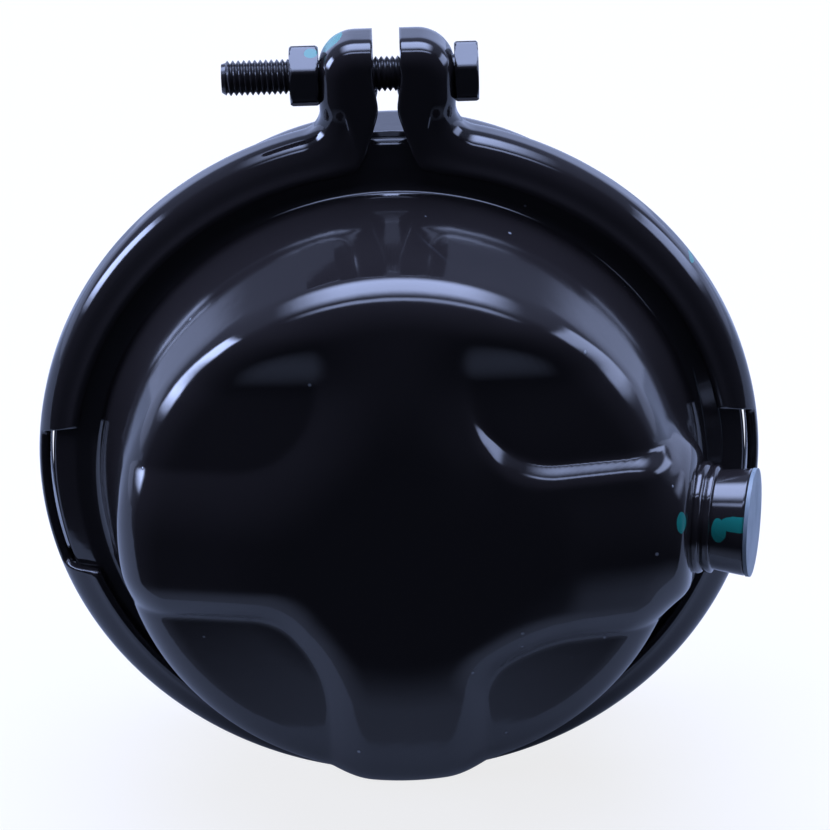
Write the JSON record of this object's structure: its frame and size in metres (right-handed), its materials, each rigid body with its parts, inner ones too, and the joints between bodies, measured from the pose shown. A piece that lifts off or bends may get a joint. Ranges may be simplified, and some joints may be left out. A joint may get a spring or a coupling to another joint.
{
  "type": "diaphragm brake chamber",
  "caption": "Black air brake chamber: pressed housings held by a clamp band, with a diaphragm, a sprung push rod with a clevis, mounting studs and a plugged side port.",
  "frame": {"origin": "centre of the mounting face, midway between the two studs, on the push rod's axis", "axes": "+Y along the push rod and studs, away from the chamber; +Z towards the clamp's lugs; +X towards the air port"},
  "size_m": [0.172, 0.1965, 0.193],
  "materials": {
    "black_paint": "gloss black enamel",
    "weld": "glossy black over the weld bead",
    "plug": "pale grey-blue moulded plastic",
    "rubber": "moulded rubber",
    "plated_steel": "zinc plated",
    "spring_steel": "dark oiled spring wire"
  },
  "bodies": {
    "chamber": {"pressure_housing": "black_paint", "port_boss": "black_paint", "port_weld_bead": "weld", "rear_housing": "black_paint", "drain_plugs": "rubber", "stud_left": "plated_steel", "stud_right": "plated_steel", "clamp_band": "black_paint", "clamp_bolt": "black_paint", "clamp_nut": "black_paint", "diaphragm": "rubber", "return_spring": "spring_steel", "rod_seal": "rubber"},
    "rod": {"push_plate": "plated_steel", "push_rod": "plated_steel", "rod_weld": "plated_steel", "lock_nut": "plated_steel", "clevis": "plated_steel"},
    "pin": {"clevis_pin": "plated_steel", "pin_washer": "plated_steel", "cotter_pin": "plated_steel"},
    "plug": {"port_plug": "plug"}
  },
  "joints": [
    {"name": "rod_stroke", "type": "slide", "parent": "chamber", "child": "rod", "axis": [0, 1, 0], "range_m": [0, 0.057], "stiffness_N_per_m": 3000, "springref_m": -0.03, "deforming": ["return_spring", "diaphragm"]},
    {"name": "clevis_pin_turn", "type": "hinge", "parent": "rod", "child": "pin", "pos_m": [0, 0.086, 0], "axis": [1, 0, 0], "continuous": true},
    {"name": "port_plug_pull", "type": "slide", "parent": "chamber", "child": "plug", "axis": [0.9703, -0.2419, 0], "range_m": [0, 0.02]}
  ]
}
